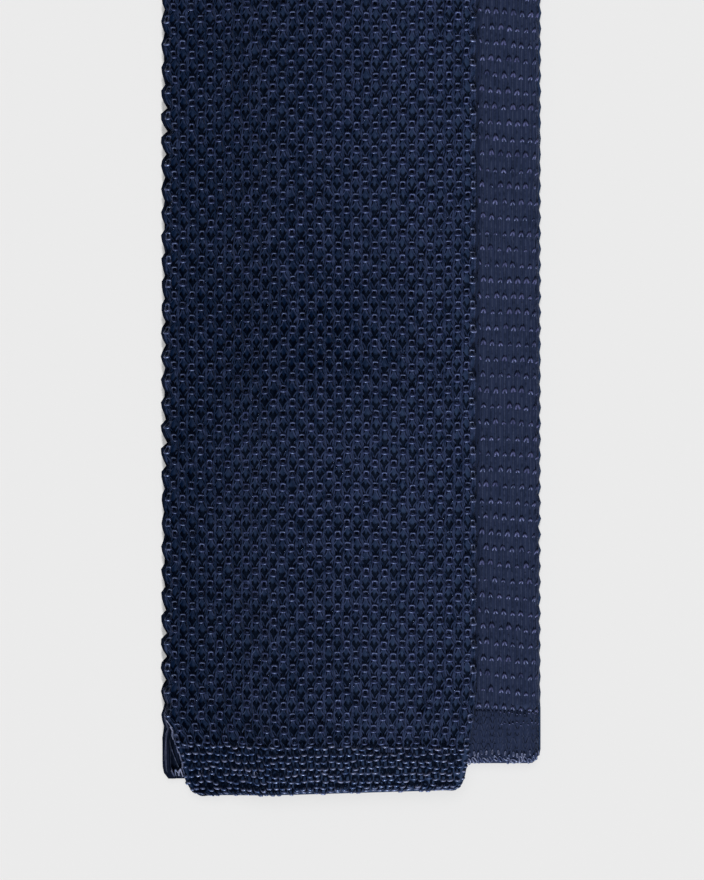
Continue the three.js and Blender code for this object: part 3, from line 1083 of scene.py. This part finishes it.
plain_tree = swatch_tree("plain knit", pointed_loop, HEAD_YARN)
strip_loops = knit(
    "tail_back_loops", plain_tree, strip_lay, columns=31, rows=167, column_step=1.64,
    row_step=PLAIN_ROW, stagger=0.82, first_row=12.6, row_slope=-0.083, keep_from=10.5,
    full_half=25.3, narrow_half=15.3, taper_from=TAPER_FROM - TAIL_SHORT,
    taper_to=TAIL_TAPER_TO - TAIL_SHORT, turn=0.2, seed=31,
)
strand_field = swatch_tree("plain strands", plain_strand, PLAIN_YARN)
strip_strands = knit(
    "tail_back_strands", strand_field, strip_lay, columns=63, rows=40, column_step=0.82,
    row_step=12.6, first_row=17.4, keep_from=10.5, full_half=25.6, narrow_half=15.6,
    taper_from=TAPER_FROM - TAIL_SHORT, taper_to=TAIL_TAPER_TO - TAIL_SHORT, turn=0.006, seed=36,
)

# %% [markdown]
# At the sides of the blade every second row ends in a ring that stands out over the bend and catches
# more light than the others. Its yarn is painted lighter as a highlight.

# %% Rings at the sides
side_tree = swatch_tree("side rings", fine_ring, SIDE_YARN)
side_rings = knit(
    "blade_front_side_rings", side_tree, face_lay, columns=2, rows=near_rows // 2,
    column_step=2 * (BLADE_WIDTH / 2 - 1.2), row_step=2 * PATTERN_ROW, first_row=FIRST_RING,
    full_half=30.2, turn=0.14, seed=55,
)

# %% [markdown]
# The band at the tail's end is smooth: short slanting legs in pairs, as on the right side of
# plain knitting, a few faint dots, and a cast-off chain of small ovals and slanting loops.

# %% The tail's band and its cast-off
def leg_pair(bench):
    return together(bench, *(
        strand(bench, (side * 0.6, 0.66, 0.98), (side * 0.24, -0.55, 1.16), 0.22, 5) for side in (-1, 1)
    ))


def upright_oval(bench):
    ring = ring_path(bench, 0.1, 0.42, 1.38, 1.44, 8)
    return yarn(bench, ring, 0.085, 4, closed_ends=False)


def small_dot(bench):
    return strand(bench, (-0.14, 0.05, 1.28), (0.14, -0.05, 1.28), 0.12, 4)


pair_tree = swatch_tree("band legs", leg_pair, PLAIN_YARN)
oval_tree = swatch_tree("cast-off ovals", upright_oval, CAST_OFF_YARN)
chain_loop = slanted_loop(-0.72, 0.68, 0.24, 0.13, 1.2, 1.12)
chain_tree = swatch_tree("cast-off chain", chain_loop, CAST_OFF_YARN)
band_legs = knit(
    "tail_back_hem_legs", pair_tree, strip_lay, columns=35, rows=8, column_step=1.57,
    row_step=1.24, first_row=1.9, keep_from=9.0, full_half=25.8, turn=0.1, seed=33,
)
strip_ovals = knit(
    "tail_back_hem_ovals", oval_tree, strip_lay, columns=64, rows=1, column_step=0.8,
    row_step=1.0, first_row=1.7, keep_from=9.0, full_half=25.6, turn=0.3, seed=34,
)
dot_tree = swatch_tree("band dots", small_dot, HEAD_YARN)
band_dots = knit(
    "tail_back_hem_dots", dot_tree, strip_lay, columns=70, rows=2, column_step=0.74,
    row_step=1.95, first_row=7.6, keep_from=17.0, full_half=25.6, turn=0.2, seed=35,
)
strip_chain = knit(
    "tail_back_hem_chain", chain_tree, strip_lay, columns=53, rows=1, column_step=0.97,
    row_step=1.0, first_row=0.66, full_half=25.5, turn=0.3, seed=32,
)

# %% [markdown]
# The neckband is beyond the photograph, and plain: pointed loops all the way over the top
# and round the fold.

# %% Neckband loops
def plainer_loop(bench):
    return yarn(bench, arch_path(bench, 0.42, 1.6, 1.42, 0.95, 7, spread=1.4, drop=1.3), 0.17, 4)


neck_tree = swatch_tree("neckband knit", plainer_loop, PLAIN_YARN)
neck_loops = knit(
    "neckband_loops", neck_tree, lay_neck, columns=19, rows=int(225 / PLAIN_ROW),
    column_step=1.64, row_step=PLAIN_ROW, stagger=0.82, first_row=2.2, full_half=15.6,
    narrow_half=15.6, turn=0.1, seed=41,
)

# %% [markdown]
# ## Floor, light and camera
# The photograph looks straight down at the tie's lower end on a pale ground, in soft light
# that comes mostly from the ends of the tie.

# %% Floor
REACH = 6.0
pale_floor, _ = start_material("pale_floor", {
    "Base Color": (0.5, 0.5, 0.5, 1), "Roughness": 0.9, "Specular IOR Level": 0.1,
    "Emission Color": (1, 1, 1, 1), "Emission Strength": 0.34,
})
mesh = bpy.data.meshes.new("floor")
floor_corners = [(x * REACH, y * REACH, -0.0002) for x, y in ((-1, -1), (1, -1), (1, 1), (-1, 1))]
mesh.from_pydata(floor_corners, [], [(0, 1, 2, 3)])
mesh.materials.append(pale_floor)
floor = bpy.data.objects.new("floor", mesh)
bpy.context.scene.collection.objects.link(floor)
print("the floor is", 2 * REACH, "m wide, and its own light softens the shadows")

# %% Light
def sun(name, azimuth, elevation, strength, softness):
    lamp = bpy.data.lights.new(name, "SUN")
    lamp.energy = strength
    lamp.angle = math.radians(softness)
    piece = bpy.data.objects.new(name, lamp)
    piece.rotation_euler = (math.radians(90 - elevation), 0, math.radians(azimuth))
    bpy.context.scene.collection.objects.link(piece)
    print(name, "stands", elevation, "degrees high")


sun("light_from_ends", 0, 33, 4.3, 9)
sun("light_from_fold", 180, 70, 0.5, 40)
world = bpy.data.worlds.new("studio")
world.use_nodes = True
world.node_tree.nodes["Background"].inputs["Color"].default_value = (1, 1, 1, 1)
world.node_tree.nodes["Background"].inputs["Strength"].default_value = 0.085
bpy.context.scene.world = world
bpy.context.scene.view_settings.view_transform = "Standard"

# %% Camera
PIXEL = 0.190476  # millimetres per pixel of the photograph, on the tie
SEEN_HIGH = 880 * PIXEL * MM
TRIM = 0.992  # found by comparing the render with the photograph
lens = bpy.data.cameras.new("camera")
lens.lens = 100.0
camera = bpy.data.objects.new("camera", lens)
camera.location = (0.0001, -0.3009, SEEN_HIGH * lens.lens / 36 * TRIM + 0.0045)
bpy.context.scene.collection.objects.link(camera)
bpy.context.scene.camera = camera
print("camera", [round(v, 4) for v in camera.location])

# %% [markdown]
# ## Joining the pieces to the frame
# Each cloth stands for its CAD panel, which is hidden, and the loops on it go with it. The size each
# cloth was cut to is printed. The tie has no joints, so all of it rides on one body.

loops_on = {
    "blade_front": [near_rings, near_legs, far_figure, side_rings],
    "blade_hem": [hem_bars, hem_end, selvedges],
    "blade_back": [corner_strands, rim_strands, corner_loops],
    "tail_back": [strip_loops, strip_strands],
    "tail_back_hem": [band_legs, band_dots, strip_ovals, strip_chain],
    "neckband": [neck_loops],
}


def cut_area(width, share, start, stop):
    along = np.linspace(start, stop, 400)
    wide = (width + 2 * QUARTER) * share(along)
    return float(np.sum((wide[1:] + wide[:-1]) / 2 * np.diff(along))) * MM * MM


for node, cloth in cloths.items():
    loops = loops_on.get(node, [])
    for piece in [cloth, *loops]:
        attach(piece, "root")
    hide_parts(node)
    if node == "neckband":
        flat, area = (2 * (NECK_WIDTH + 2 * QUARTER) * MM, NECK_LENGTH * MM), None
    else:
        half, start, stop = panels[node][:3]
        width, _, narrow = halves[half]
        # The shortest strip, under the tail's end, is cut as deep as its band.
        flat = ((width + 2 * QUARTER) * MM, max(stop - start, HEM) * MM)
        area = cut_area(width, narrow, start, stop)
    print(node, "cut", [round(v * 1000, 1) for v in flat], "mm")
